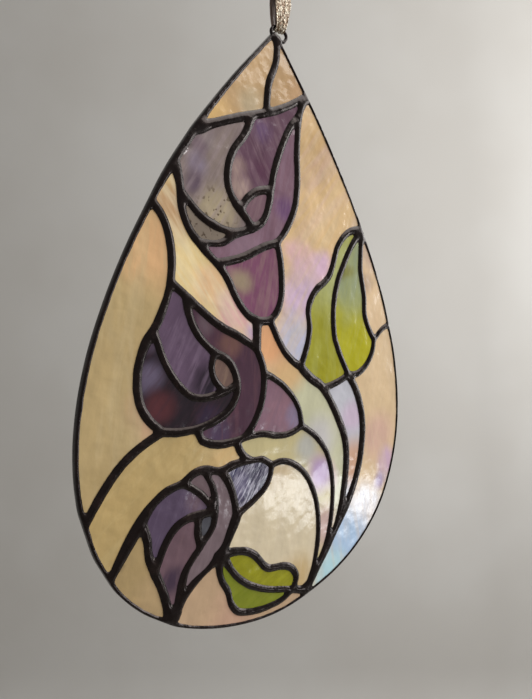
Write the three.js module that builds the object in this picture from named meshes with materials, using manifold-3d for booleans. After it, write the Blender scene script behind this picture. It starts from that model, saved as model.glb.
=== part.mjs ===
// A teardrop stained-glass suncatcher: 35 glass panes in copper foil, joined by one network of
// solder, with three rosebuds, two leaves and curving stems, hung by a ribbon from a wire loop.
// Millimetres. X to the right, the front faces -Y, +Z up. The origin is the point in the top of
// the ribbon's loop where a hook bears. The artwork is laid out as [across, down] from the
// panel's axis and the tip of the glass.
import * as THREE from 'three';
import { mergeVertices } from 'three/addons/utils/BufferGeometryUtils.js';
import Module from 'manifold-3d';

const wasm = await Module();
wasm.setup();

// ---- driving dimensions -------------------------------------------------------------------
const HANG_TO_TIP = 48; // from the hook's bearing point down to the tip of the glass
const HOOK_ACROSS = 4.6; // how far the hook stands to the right of the panel's axis
const GLASS = 3; // thickness of every pane
const BEAD_RISE = 0.9; // how far the solder stands above the glass, on each face
const FOOT_RISE = 0.3; // how far the edges of a solder line stand above the glass
const BEAD = 4.2; // width of an ordinary solder line
const FINE_BEAD = 3.6;
const BROAD_BEAD = 5.4;
const RIM = 1.6; // width of the rim
const RIM_RISE = 0.5; // how far the rim stands above the glass, on each face
const RIM_CHAMFER = 0.4; // on the rim's outer corners
const POOL_SLOPE = 1.2; // width of the sloping edge of a pool of solder
const POOL_SIDES = 8;
const GAP = 0.3; // clearance between touching pieces
const CHORD_ERROR = 0.45; // how far a straight step may stray from its curve
const SAMPLES_PER_SPAN = 12;
const WIRE = 1.7; // thickness of the hanging loop's wire
const RIBBON = 11; // full width of the ribbon
const RIBBON_AT_FOLD = 6; // gathered width where it folds under the hanging loop's bar
const RIBBON_THICK = 0.7;
const KNOT = { across: 10, deep: 6, tall: 7, down: -31 };

const HALF_GLASS = GLASS / 2;
const HALF_SOLDER = HALF_GLASS + BEAD_RISE;
const HALF_FOOT = HALF_GLASS + FOOT_RISE;
const HALF_RIM = HALF_GLASS + RIM_RISE;

// ---- layout of the artwork, [across, down] ------------------------------------------------
// The right half of the outline, from the apex to the middle of the foot, about its own axis.
const OUTLINE = [
  [0, -5], [29.8, 30.5], [61.7, 75.5], [86.6, 121.7], [100.4, 161], [105, 196],
  [101.8, 224], [89.3, 253.5], [67.6, 275.3], [38.6, 289.3], [0, 295.8],
];
const OUTLINE_ACROSS = -0.5; // where the outline's axis stands

// Where lines meet.
const J = {
  apex: [0.8, -3], fork: [-6, 36.7], crown: [-14.5, 40.5], east: [22, 21.5], west: [-47.5, 54],
  hood: [17.2, 30], heart: [-3.2, 74], cup: [-22.5, 86.3], lap: [-14.5, 94.5], tuck: [-25, 98],
  cheek: [-55.7, 82.5], jaw: [-46.3, 104.5], chin: [-36.5, 113], collar: [1, 100],
  footLeft: [-12.5, 140], footRight: [-4, 139.7],
  brow: [-61.3, 123], part: [-53.8, 128.5], neck: [-12.7, 154.5], spur: [-8.2, 166.5],
  temple: [-70, 144], base: [-67, 189], eye: [-38.5, 155], inner: [-25, 170.5],
  sill: [-32.8, 174.3], lip: [-49, 190.3], stalk: [-26, 199], knee: [-21, 198],
  corner: [18.5, 197.3],
  ridge: [-77, 227.5], peak: [-56.5, 214], top: [-45, 209.8], yoke: [-35.5, 212.3],
  bridge: [-17.5, 210], point: [-3, 215], elbow: [-25.8, 236.3], whorl: [-38.5, 231],
  curl: [-48, 231], seam: [-71.3, 251], core: [-47.5, 246.5], heel: [-35.3, 252.7],
  root: [-60, 272], ground: [-63.8, 277.5],
  leafTip: [67, 86], leafLeft: [18, 165.5], leafBase: [35, 178], leafFoot: [56.3, 172],
  leafRight: [79.7, 152], stipule: [12, 286.7],
  crotch: [45.5, 262.5], trunk: [36.5, 273.5], soil: [22, 291],
};

// Each solder line: its width, then the points that it runs through.
const LINES = [
  // background
  [BEAD, J.apex, [0.8, 6], [-1.5, 15], [-4.8, 24], J.fork],
  [BEAD, J.east, [9, 29.3], [-1, 34.7], J.fork, J.crown, [-31, 46.6], J.west],
  [BEAD, [-71.5, 87], [-66, 93], [-62.3, 101], [-60.7, 110], J.brow],
  [BEAD, J.base, [-74, 193], [-81, 196.5], [-88.5, 203], [-95, 211.5], [-102.5, 222.5]],
  [FINE_BEAD, J.leafRight, [84.5, 147.7], [90, 144], [96, 142]],
  [BROAD_BEAD, J.footLeft, [-12.5, 147], J.neck],
  [BEAD, J.stalk, [-24.5, 203], [-21.5, 207], J.bridge],
  // upper bud
  [BEAD, J.crown, [-19.2, 50], [-26.5, 60], [-29.6, 70], [-28.5, 79], J.cup, J.lap],
  [BEAD, J.east, [17.2, 30], [15.5, 40], [14.8, 50], [15.2, 64], [13.7, 79], [8, 91.5], J.collar],
  [BEAD, J.hood, [12, 37], [5.5, 48.5], [0.3, 61], J.heart, [-4.3, 81], [-8, 90], J.lap],
  [BEAD, J.heart, [-11, 76], [-17, 79.7], J.cup],
  [BEAD, J.lap, J.tuck, [-30.5, 97], [-36.5, 96], [-43.5, 93], [-49.5, 87.7], J.cheek],
  [FINE_BEAD, J.tuck, [-31, 102.3], [-37, 103.8], J.jaw],
  [BEAD, [-58.5, 70], [-56.3, 76], J.cheek, [-54.5, 91.5], [-50.8, 99.5], J.jaw, [-40.5, 110],
    J.chin, [-30.5, 120], [-24.8, 130], [-18.5, 137], J.footLeft],
  [BEAD, J.collar, [-6, 102.3], [-15.5, 106.8], [-26, 110.8], J.chin],
  [BEAD, J.collar, [2.8, 107], [3.9, 117], [3.9, 126], [1.5, 134], J.footRight, J.footLeft],
  // middle bud
  [BEAD, J.brow, J.part, [-43, 137], [-32.5, 144], [-21, 149.3], J.neck],
  [BEAD, J.neck, [-9.8, 160.5], J.spur, [-8.9, 178], [-12, 187], [-16.7, 194], J.knee],
  [BEAD, J.brow, [-64.5, 130], [-67.5, 138], J.temple, [-74.7, 151], [-77.6, 160],
    [-78.2, 169.5], [-75.5, 179.5], J.base],
  [FINE_BEAD, J.temple, [-67.8, 151], [-63.7, 160.5], [-57.3, 169.5], [-49.5, 175.3], J.sill],
  [FINE_BEAD, J.sill, J.inner],
  [BEAD, J.part, [-52.7, 135], [-50, 142.5], [-44.5, 149], J.eye],
  [FINE_BEAD, J.eye, [-40, 160], [-39, 167], J.sill],
  [BEAD, J.eye, [-32, 158], [-27.6, 163], J.inner, [-25.5, 176], [-30, 183], [-38.5, 187.5], J.lip],
  [BEAD, J.base, [-58, 190.3], J.lip, [-46.5, 195.5], [-39, 198.7], J.stalk, J.knee],
  [FINE_BEAD, J.spur, [-1, 170], [8, 178.5], [15, 185], [17.3, 191.5], J.corner],
  [FINE_BEAD, J.knee, [-10.2, 197.7], [-3.5, 199.3], [4, 200.5], [11, 200], J.corner],
  // lower bud
  [BEAD, [-92, 248], [-85, 238.3], J.ridge, [-70.5, 219.3], [-63.5, 215.5], J.peak],
  [BEAD, J.peak, [-51, 210.8], J.top, [-40.5, 211.3], J.yoke, [-27.5, 210.5], J.bridge],
  [FINE_BEAD, J.bridge, [-9.5, 211], J.point],
  [FINE_BEAD, J.point, [-4, 220.5], [-8, 226.5], [-15.5, 231.2], J.elbow],
  [BEAD, J.yoke, [-31.5, 217.5], [-28.3, 225], J.elbow],
  [BROAD_BEAD, J.elbow, [-28.5, 242], [-32, 247.7], J.heel],
  [BEAD, J.heel, [-42, 257], [-50, 261.8], [-55.7, 266.7], J.root, J.ground],
  [BEAD, J.ridge, [-74.8, 235], [-74, 243], J.seam, [-67.5, 261], [-65, 270], J.ground],
  [BEAD, J.whorl, J.curl, [-55, 231.3], [-61.5, 234.3], [-65.7, 240], J.seam],
  [BEAD, J.curl, [-48.7, 239], J.core, [-51.5, 250.8], [-56, 256.5], [-58.2, 264], J.root],
  [FINE_BEAD, J.whorl, [-40.3, 238.5], J.core],
  [FINE_BEAD, J.peak, [-50.8, 218], [-45.5, 222.5], J.whorl],
  [FINE_BEAD, J.top, [-41, 217], [-39, 224], J.whorl],
  // large leaf
  [BEAD, J.leafTip, [56, 89], [47.5, 96.5], [43.5, 106.5], [38.5, 116.3], [29, 123.5],
    [23.6, 132.5], [24.5, 143.5], [20.8, 155], J.leafLeft],
  [BEAD, J.leafTip, [60, 94.5], [51, 109], [45, 122.5], [43.4, 135], [44.5, 150], [52, 164.5], J.leafFoot],
  [BEAD, J.leafTip, [66.5, 105], [67, 114.5], [70.2, 127], [71, 138], J.leafRight],
  [BEAD, J.leafRight, [78, 159.5], [72, 167.5], [63.5, 172], J.leafFoot, [46, 175.8], J.leafBase],
  // small leaf
  [BEAD, J.heel, [-26.5, 254.7], [-17, 258], [-10.5, 265], [-5.5, 269.5], [2, 270.8],
    [9.5, 273.5], [14.5, 280], J.stipule],
  [FINE_BEAD, J.heel, [-36.5, 260], [-35, 267.5], [-31.5, 273.5], [-29.8, 280], [-25, 286],
    [-13, 289.4], [-2, 290.2], [6.5, 289.1], J.stipule],
  [BEAD, J.stipule, J.soil],
  [FINE_BEAD, J.heel, [-28, 265], [-20.5, 272.7], [-12, 278], [-2, 281.7], J.stipule],
  // stems
  [BEAD, J.footRight, [-1, 145.5], [5, 155], [11, 161], J.leafLeft],
  [BROAD_BEAD, J.leafLeft, [26, 172], J.leafBase, [41.5, 187.5], [48.2, 197.5], [52.5, 206],
    [54.8, 216], [54.7, 227], [52.7, 241], [49.7, 253], J.crotch],
  [BROAD_BEAD, J.leafFoot, [62, 179.5], [66.5, 189], [69.3, 200], [69.3, 212], [67, 225.5],
    [62.3, 238], [55, 250.5], J.crotch, J.trunk, J.soil],
  [FINE_BEAD, J.corner, [28, 203.5], [34.5, 210], [39.7, 218.5], [42.8, 230], [43.2, 242],
    [41.7, 256], J.trunk],
  [FINE_BEAD, J.point, [4, 214.3], [12, 217], [20.5, 223.7], [27.5, 235], [31, 247.5],
    [31.5, 261], [28.5, 277], J.soil],
];

// Pools of solder where many lines meet: [across, down, radius].
const POOLS = [
  [1.2, -1.4, 4], [67, 89.5, 5.2], [-62.5, 274, 4.6], [22, 290, 4.4], [-36, 255, 4.4],
];

// Panes: name, a point on the pane, colour.
const PANES = [
  ['sky_top_left', [-22, 28], 0xc9ae7c],
  ['sky_top_right', [8, 22], 0xc6a97c],
  ['sky_right_upper', [35, 70], 0xcfae86],
  ['sky_left_middle', [-50, 118], 0xe6cb8c],
  ['sky_left', [-90, 170], 0xc3a676],
  ['sky_left_band', [-72, 205], 0xc0a56e],
  ['sky_left_foot', [-80, 255], 0xb59a63],
  ['sky_foot', [-48, 278], 0xbd9c76],
  ['sky_centre', [5, 245], 0xd9c9a6],
  ['stem_band_long', [15, 180], 0xc7b79a],
  ['stem_band_middle', [10, 207], 0xc4b9a4],
  ['stem_band_right', [58, 195], 0xc3b6c0],
  ['sky_right', [85, 205], 0xd8b892],
  ['sky_right_small', [80, 125], 0xddbf98],
  ['upper_bud_left', [-42, 70], 0x8b7f7e],
  ['upper_bud_middle', [-12, 60], 0x6d4a63],
  ['upper_bud_heart', [-11, 84], 0x7a5a6e],
  ['upper_bud_right', [8, 70], 0x7b5a72],
  ['upper_bud_fold', [-46, 99], 0x8f8478],
  ['upper_bud_sepal', [-8, 122], 0x74506c],
  ['middle_bud_left', [-71, 168], 0x4a3348],
  ['middle_bud_centre', [-58, 152], 0x5d4860],
  ['middle_bud_heart', [-32.5, 165], 0x8c7466],
  ['middle_bud_right', [-16, 172], 0x5b3f54],
  ['middle_bud_sepal', [5, 190], 0x7e6078],
  ['lower_bud_left', [-62, 223], 0x665a78],
  ['lower_bud_centre', [-58, 245], 0x6a4e5a],
  ['lower_bud_right', [-33, 235], 0x75646e],
  ['lower_bud_top', [-46.5, 215], 0x6f5b66],
  ['lower_bud_heart', [-44, 238], 0x5f626e],
  ['lower_bud_sepal', [-17, 220], 0x4a4a80],
  ['large_leaf_left', [33, 145], 0x9a9a2c],
  ['large_leaf_right', [60, 140], 0xa3a42a],
  ['small_leaf_upper', [-5, 275], 0x8f9020],
  ['small_leaf_lower', [-18, 282], 0x7f8628],
];

// ---- helpers -------------------------------------------------------------------------------
// A place in the part's frame; depth is behind the panel's middle plane.
function place([across, down], depth = 0) {
  return new THREE.Vector3(across - HOOK_ACROSS, depth, -HANG_TO_TIP - down);
}

// A manifold solid from a closed three.js geometry.
function solid(geometry) {
  const bare = geometry.clone();
  bare.deleteAttribute('normal');
  bare.deleteAttribute('uv');
  const merged = mergeVertices(bare, 1e-4);
  return new wasm.Manifold(
    new wasm.Mesh({
      numProp: 3,
      vertProperties: Float32Array.from(merged.attributes.position.array),
      triVerts: Uint32Array.from(merged.index.array),
    }),
  );
}

// A three.js geometry from a manifold solid.
function toGeometry(body) {
  const mesh = body.getMesh();
  const geometry = new THREE.BufferGeometry();
  geometry.setAttribute('position', new THREE.BufferAttribute(mesh.vertProperties, 3));
  geometry.setIndex(new THREE.BufferAttribute(mesh.triVerts, 1));
  geometry.computeVertexNormals();
  return geometry;
}

function union(bodies) {
  return bodies.reduce((sum, body) => sum.add(body));
}

// A smooth curve through layout points, in the panel's middle plane.
function curveThrough(points, closed = false) {
  return new THREE.CatmullRomCurve3(points.map((p) => place(p)), closed, 'centripetal');
}

// The stops of straight steps that stay within CHORD_ERROR of a run of close points.
function thinned(points) {
  const chord = new THREE.Line3(points[0], points.at(-1));
  const foot = new THREE.Vector3();
  const errors = points.map((p) => chord.closestPointToPoint(p, true, foot).distanceTo(p));
  const worst = Math.max(...errors);
  if (worst < CHORD_ERROR) return [points[0], points.at(-1)];
  const split = errors.indexOf(worst);
  return thinned(points.slice(0, split + 1)).concat(thinned(points.slice(split)).slice(1));
}

const PANEL_NORMAL = new THREE.Vector3(0, 1, 0);
const RIBBON_NORMAL = new THREE.Vector3(1, 0, 0);

// A chain of straight steps between stops that lie in one plane, given by its normal.
class Route extends THREE.Curve {
  constructor(stops, normal) {
    super();
    this.stops = stops;
    this.normal = normal;
  }

  get steps() {
    return this.stops.length - 1;
  }

  getPointAt(t) {
    return this.stops[Math.round(t * this.steps)].clone();
  }

  // The direction of travel: the mean of the steps on either side of a stop.
  getTangentAt(t) {
    const i = Math.round(t * this.steps);
    const here = this.stops[i];
    const arriving = here.clone().sub(this.stops[Math.max(i - 1, 0)]).normalize();
    const leaving = this.stops[Math.min(i + 1, this.steps)].clone().sub(here).normalize();
    return arriving.add(leaving).normalize();
  }

  // Frames that never twist: the normal stays square to the route's plane.
  computeFrenetFrames() {
    const tangents = this.stops.map((_, i) => this.getTangentAt(i / this.steps));
    const normals = tangents.map(() => this.normal.clone());
    const binormals = tangents.map((tangent) => tangent.clone().cross(this.normal));
    return { tangents, normals, binormals };
  }
}

// The route of a solder line: straight steps along the smooth curve through its points.
function lineRoute(points) {
  const samples = curveThrough(points).getPoints(SAMPLES_PER_SPAN * (points.length - 1));
  return new Route(thinned(samples), PANEL_NORMAL);
}

// A bar with the given section swept along a route: section x is along the plane's normal.
function sweep(route, section) {
  const shape = new THREE.Shape(section.map(([x, y]) => new THREE.Vector2(x, y)));
  const options = { steps: route.steps, bevelEnabled: false, extrudePath: route };
  return new THREE.ExtrudeGeometry(shape, options);
}

// The section of a solder line: a ridge proud of each face of the glass.
function beadSection(width) {
  const side = width / 2;
  return [
    [HALF_SOLDER, 0], [HALF_FOOT, side], [-HALF_FOOT, side],
    [-HALF_SOLDER, 0], [-HALF_FOOT, -side], [HALF_FOOT, -side],
  ];
}

// The section of what a solder line cuts out of the sheet of glass.
function cutSection(width) {
  const side = width / 2 + GAP;
  return [[GLASS, side], [-GLASS, side], [-GLASS, -side], [GLASS, -side]];
}

// A round body across the panel's thickness, from a profile of [radius, height].
function turned([across, down], profile) {
  const points = profile.map(([radius, height]) => new THREE.Vector2(radius, height));
  const centre = place([across, down]);
  return new THREE.LatheGeometry(points, POOL_SIDES).translate(centre.x, centre.y, centre.z);
}

// A pool of solder: a disc with sloping edges.
function pool([across, down, radius]) {
  const crest = radius - POOL_SLOPE;
  return turned([across, down], [
    [0, -HALF_SOLDER], [crest, -HALF_SOLDER], [radius, -HALF_FOOT],
    [radius, HALF_FOOT], [crest, HALF_SOLDER], [0, HALF_SOLDER],
  ]);
}

// What a pool of solder cuts out of the sheet of glass.
function poolCut([across, down, radius]) {
  const side = radius + GAP;
  return turned([across, down], [[0, -GLASS], [side, -GLASS], [side, GLASS], [0, GLASS]]);
}

// ---- the panel's outline -------------------------------------------------------------------
// Layout points of the whole outline, clockwise from the apex.
function outlinePoints() {
  const last = OUTLINE.length - 1;
  const [across, down] = OUTLINE[last - 1];
  const curve = curveThrough([...OUTLINE, [-across, down]]);
  const samples = curve.getPoints(SAMPLES_PER_SPAN * (last + 1)).slice(0, SAMPLES_PER_SPAN * last + 1);
  const right = thinned(samples).map((p) => [p.x + HOOK_ACROSS, -HANG_TO_TIP - p.z]);
  const left = right.slice(1, -1).reverse().map(([x, y]) => [-x, y]);
  return [...right, ...left].map(([x, y]) => [x + OUTLINE_ACROSS, y]);
}

const outline = outlinePoints();

// The outline moved inwards by a distance.
function insetOutline(distance) {
  const count = outline.length;
  return outline.map((point, i) => {
    const previous = new THREE.Vector2(...outline[(i + count - 1) % count]);
    const here = new THREE.Vector2(...point);
    const next = new THREE.Vector2(...outline[(i + 1) % count]);
    const before = here.clone().sub(previous).normalize();
    const after = next.clone().sub(here).normalize();
    const inward = new THREE.Vector2(-before.y - after.y, before.x + after.x).normalize();
    const stretch = distance / Math.max(inward.dot(new THREE.Vector2(-before.y, before.x)), 0.3);
    return here.addScaledVector(inward, stretch).toArray();
  });
}

function shapeOf(points) {
  return new THREE.Shape(points.map(([across, down]) => new THREE.Vector2(across, -down)));
}

// A plate with the given outline, centred on the panel's middle plane.
function plate(shape, halfThickness, bevel = 0) {
  const geometry = new THREE.ExtrudeGeometry(shape, {
    depth: 2 * (halfThickness - bevel),
    bevelEnabled: bevel > 0,
    bevelThickness: bevel,
    bevelSize: bevel,
    bevelOffset: -bevel,
    bevelSegments: 1,
  });
  geometry.translate(0, 0, bevel - halfThickness);
  geometry.rotateX(Math.PI / 2);
  return geometry.translate(-HOOK_ACROSS, 0, -HANG_TO_TIP);
}

// ---- glass and solder ----------------------------------------------------------------------
const lines = LINES.map(([width, ...points]) => ({ width, route: lineRoute(points) }));

// Everything that the solder lines and pools cut out of the sheet of glass.
function glassCuts() {
  const bars = lines.map(({ width, route }) => solid(sweep(route, cutSection(width))));
  return union(bars.concat(POOLS.map((spec) => solid(poolCut(spec)))));
}

// The separate panes of the cut sheet, in the order of the panes' list.
function glassPanes() {
  const sheet = solid(plate(shapeOf(insetOutline(RIM + GAP)), HALF_GLASS));
  const bodies = sheet.subtract(glassCuts()).decompose();
  const picked = PANES.map(([name, seed]) => {
    const centre = place(seed);
    const probe = solid(new THREE.BoxGeometry(GAP, GAP, GAP).translate(centre.x, 0, centre.z));
    const found = bodies.find((body) => !body.intersect(probe).isEmpty());
    if (!found) throw new Error(`no glass at ${name}`);
    return found;
  });
  if (new Set(picked).size < PANES.length) throw new Error('two panes run into one');
  return picked;
}

// ---- hanging loop --------------------------------------------------------------------------
const LOOP = { across: 3.3, bar: -8.1, foot: -1.9, halfWidth: 5.1 };

function loopCurve() {
  const { across, bar, foot, halfWidth } = LOOP;
  return curveThrough([
    [across - 2.6, bar], [across + 2.6, bar], [across + halfWidth, bar + 2.6],
    [across + 3.4, foot - 0.5], [across, foot], [across - 3.4, foot - 0.5],
    [across - halfWidth, bar + 2.6],
  ], true);
}

function loopWire(radius) {
  return new THREE.TubeGeometry(loopCurve(), 24, radius, 8, true);
}

// The solder: the rim, the lines and the pools in one, cut out around the loop's foot.
function solderNetwork() {
  const edge = solid(plate(shapeOf(outline), HALF_RIM, RIM_CHAMFER));
  const opening = solid(plate(shapeOf(insetOutline(RIM)), GLASS));
  const beads = lines.map(({ width, route }) => solid(sweep(route, beadSection(width))));
  const [apexPool, ...pools] = POOLS.map((spec) => solid(pool(spec)));
  return union([...beads, ...pools])
    .intersect(solid(plate(shapeOf(outline), HALF_SOLDER)))
    .add(edge.subtract(opening))
    .add(apexPool)
    .subtract(solid(loopWire(WIRE / 2 + GAP)));
}

// ---- ribbon --------------------------------------------------------------------------------
// The ribbon's routes, [depth, down]: it folds under the loop's bar, rises in two strands to a
// knot, and ends above it in a loop that goes over a hook.
const FRONT_STRAND = [
  [1.7, -9.2], [1.7, -8.1], [1.2, -6.9], [0, -6.4], [-1.2, -6.9], [-1.7, -8.1], [-2, -10],
  [-2.1, -12], [-2.1, -16], [-2, -20], [-1.7, -24], [-1.3, -27.3],
];
const BACK_STRAND = [
  [1.75, -9.5], [2.1, -12], [2.2, -16], [2.1, -20], [1.7, -24], [1.3, -27.3],
];
const HOOK_LOOP = [
  [-1.2, -34.9], [-3.2, -38.5], [-4.1, -42.5], [-3, -46.6], [0, -48.35],
  [3, -46.6], [4.1, -42.5], [3.2, -38.5], [1.2, -34.9],
];
const FOLD_DOWN = -6.4;
const FULL_WIDTH_DOWN = -20;

// A strip of ribbon along a route, gathered towards the fold under the loop's bar.
function ribbon(points) {
  const edge = RIBBON / 2;
  const face = RIBBON_THICK / 2;
  const stops = points.map(([depth, down]) => place([HOOK_ACROSS, down], depth));
  const geometry = sweep(new Route(stops, RIBBON_NORMAL), [
    [edge, face / 3], [edge - face, face], [face - edge, face], [-edge, face / 3],
    [-edge, -face / 3], [face - edge, -face], [edge - face, -face], [edge, -face / 3],
  ]);
  const position = geometry.attributes.position;
  for (let i = 0; i < position.count; i += 1) {
    const down = -HANG_TO_TIP - position.getZ(i);
    const raw = (down - FOLD_DOWN) / (FULL_WIDTH_DOWN - FOLD_DOWN);
    const flare = THREE.MathUtils.clamp(raw, 0, 1);
    const width = THREE.MathUtils.lerp(RIBBON_AT_FOLD, RIBBON, flare);
    const middle = THREE.MathUtils.lerp(LOOP.across - HOOK_ACROSS, 0, flare);
    position.setX(i, middle + (position.getX(i) * width) / RIBBON);
  }
  return geometry;
}

function knot() {
  const centre = place([HOOK_ACROSS, KNOT.down]);
  const geometry = new THREE.SphereGeometry(0.5, 12, 8);
  geometry.scale(KNOT.across, KNOT.tall, KNOT.deep).rotateX(Math.PI / 2);
  return geometry.translate(centre.x, centre.y, centre.z);
}

// ---- assembly ------------------------------------------------------------------------------
function piece(name, geometry, color, roughness, metalness = 0) {
  const mesh = new THREE.Mesh(
    geometry,
    new THREE.MeshStandardMaterial({ color, roughness, metalness }),
  );
  mesh.name = name;
  return mesh;
}

const suncatcher = new THREE.Group();
suncatcher.add(piece('solder', toGeometry(solderNetwork()), 0x17120f, 0.3, 0.8));
glassPanes().forEach((body, i) => {
  const [name, , color] = PANES[i];
  suncatcher.add(piece(name, toGeometry(body), color, 0.2));
});
suncatcher.add(piece('wire_loop', loopWire(WIRE / 2), 0x141210, 0.35, 0.9));
suncatcher.add(piece('ribbon_front', ribbon(FRONT_STRAND), 0xa8946a, 0.6, 0.3));
suncatcher.add(piece('ribbon_back', ribbon(BACK_STRAND), 0xa8946a, 0.6, 0.3));
suncatcher.add(piece('ribbon_knot', knot(), 0xa8946a, 0.6, 0.3));
suncatcher.add(piece('ribbon_hook_loop', ribbon(HOOK_LOOP), 0xa8946a, 0.6, 0.3));

export default suncatcher;
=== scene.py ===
"""A teardrop stained-glass suncatcher hanging from a ribbon: the looks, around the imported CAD.

Metres, in the part's frame: X to the right, the front faces -Y, Z up, and the origin is where a
hook bears in the top of the ribbon's loop. Layout places are [across, down] in millimetres from
the panel's axis and the tip of the glass, as in the part's source.
"""

import math

import bpy
import numpy as np
from mathutils import Matrix, Vector, geometry, noise
from mathutils.kdtree import KDTree


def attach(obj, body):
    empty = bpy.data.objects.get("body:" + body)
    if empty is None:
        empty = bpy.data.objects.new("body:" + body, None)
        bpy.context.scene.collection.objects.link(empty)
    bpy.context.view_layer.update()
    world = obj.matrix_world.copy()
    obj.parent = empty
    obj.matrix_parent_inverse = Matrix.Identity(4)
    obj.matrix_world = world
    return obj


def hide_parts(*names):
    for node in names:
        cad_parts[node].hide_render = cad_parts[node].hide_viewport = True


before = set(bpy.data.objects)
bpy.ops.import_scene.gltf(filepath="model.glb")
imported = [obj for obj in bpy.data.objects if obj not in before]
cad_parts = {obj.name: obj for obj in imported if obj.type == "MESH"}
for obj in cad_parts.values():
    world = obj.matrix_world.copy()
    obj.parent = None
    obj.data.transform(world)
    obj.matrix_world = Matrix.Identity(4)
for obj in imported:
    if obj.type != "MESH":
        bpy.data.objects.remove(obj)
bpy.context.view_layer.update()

MM = 0.001
HOOK_ACROSS = 4.6  # the hook stands this far to the right of the panel's axis
HANG_TO_TIP = 48  # from the origin down to the tip of the glass


def place(across, down, depth=0.0):
    """A layout place, in the part's frame."""
    return Vector(((across - HOOK_ACROSS) * MM, depth * MM, -(HANG_TO_TIP + down) * MM))


# ---- camera -----------------------------------------------------------------------------------
CAMERA_PLACE = Vector((-0.1840, -0.2080, -0.1873))
CAMERA_LOOK = Vector((0.6403, 0.7660, -0.0570))
CAMERA_UP = Vector((0.0381, 0.0425, 0.9984))
LENS_MM = 27.19
SENSOR_MM = 36


def aim(obj, at, look, up=Vector((0, 0, 1))):
    """Puts a camera or light at a place, looking along a direction."""
    back = -look.normalized()
    side = up.cross(back).normalized()
    turn = Matrix((side, back.cross(side), back)).transposed()
    obj.matrix_world = Matrix.Translation(at) @ turn.to_4x4()


def link(name, data):
    obj = bpy.data.objects.new(name, data)
    bpy.context.scene.collection.objects.link(obj)
    return obj


camera = link("camera", bpy.data.cameras.new("camera"))
camera.data.lens = LENS_MM
camera.data.sensor_width = SENSOR_MM
camera.data.clip_start = 0.01
aim(camera, CAMERA_PLACE, CAMERA_LOOK, CAMERA_UP)
bpy.context.scene.camera = camera


# ---- curves and meshes ------------------------------------------------------------------------
def chords(points, closed):
    """The steps from each point to the next, and their lengths."""
    steps = np.roll(points, -1, axis=0) - points
    if not closed:
        steps = steps[:-1]
    return steps, np.linalg.norm(steps, axis=1)


def evenly(points, step, closed=True):
    """Points spaced evenly along a chain of straight steps."""
    _, lengths = chords(points, closed)
    along = np.concatenate([[0], np.cumsum(lengths)])
    count = max(3, round(along[-1] / step))
    stops = np.linspace(0, along[-1], count + (0 if closed else 1), endpoint=not closed)
    run = np.vstack([points, points[:1]]) if closed else points
    return np.stack([np.interp(stops, along, run[:, k]) for k in range(run.shape[1])], axis=1)


def smooth_curve(points, step, closed=True, corner=math.radians(36)):
    """Close points along a smooth curve through the given ones, which keeps sharp corners."""
    points = np.array(points, float)
    steps, lengths = chords(points, closed)
    if not closed:  # a mirrored step past each end
        steps = np.vstack([steps[:1], steps, steps[-1:]])
        lengths = np.concatenate([lengths[:1], lengths, lengths[-1:]])
        before, after = steps[:-1], steps[1:]
        short, long = lengths[:-1, None], lengths[1:, None]
    else:
        before, after = np.roll(steps, 1, axis=0), steps
        short, long = np.roll(lengths, 1)[:, None], lengths[:, None]
    tangent = (before / short * long + after / long * short) / (short + long)
    cosine = (before * after).sum(1) / (short * long)[:, 0]
    sharp = cosine < math.cos(corner)
    runs = range(len(points) if closed else len(points) - 1)
    out = []
    for i in runs:
        j = (i + 1) % len(points)
        reach = points[j] - points[i]
        length = np.linalg.norm(reach)
        a, b = tangent[i] * length, tangent[j] * length
        if sharp[i] and sharp[j]:
            a = b = reach
        elif sharp[i]:
            a = 1.5 * reach - 0.5 * b
        elif sharp[j]:
            b = 1.5 * reach - 0.5 * a
        t = np.linspace(0, 1, max(2, math.ceil(length / step)), endpoint=False)[:, None]
        out.append(
            points[i] * (1 + t * t * (2 * t - 3)) + a * t * (t - 1) ** 2
            + points[j] * t * t * (3 - 2 * t) + b * t * t * (t - 1)
        )
    if not closed:
        out.append(points[-1:])
    return evenly(np.vstack(out), step, closed)


def softened(points, sigma, step):
    """A closed run of evenly spaced points with its corners rounded off."""
    reach = math.ceil(3 * sigma / step)
    offsets = range(-reach, reach + 1)
    weights = [math.exp(-0.5 * (k * step / sigma) ** 2) for k in offsets]
    return sum(w * np.roll(points, k, axis=0) for k, w in zip(offsets, weights)) / sum(weights)


def outward(points):
    """Unit normals that point out of a counter-clockwise loop of [x, z] points."""
    along = np.roll(points, -1, axis=0) - np.roll(points, 1, axis=0)
    along /= np.maximum(np.linalg.norm(along, axis=1), 1e-12)[:, None]
    return np.stack([along[:, 1], -along[:, 0]], axis=1)


def waves(points, size, seed):
    """Smooth random heights from -1 to 1 at [x, z] points, with bumps about size across."""
    return np.array([noise.noise(Vector((x / size, seed, z / size))) for x, z in points])


def tree_of(points):
    tree = KDTree(len(points))
    for i, p in enumerate(points):
        tree.insert((p[0], p[1], 0), i)
    tree.balance()
    return tree


def signed_distance(points, samples, normals, tree):
    """How far points are from a loop's samples, positive on the normals' side, and the nearest
    samples."""
    found = [tree.find((p[0], p[1], 0)) for p in points]
    nearest = np.array([f[1] for f in found], int)
    away = np.array([f[2] for f in found])
    side = ((points - samples[nearest]) * normals[nearest]).sum(1)
    return np.where(side < 0, -away, away), nearest


def within(points, loop):
    """Which points are inside a closed loop."""
    found = ((points > loop.min(0)) & (points < loop.max(0))).all(1)
    x, z = points[found].T[:, :, None]
    (ax, az), (bx, bz) = loop.T, np.roll(loop, -1, axis=0).T
    crossing = ax + (z - az) * (bx - ax) / np.where(az == bz, 1, bz - az)
    found[np.flatnonzero(found)] = (((az > z) != (bz > z)) & (x < crossing)).sum(1) % 2 == 1
    return found


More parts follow.
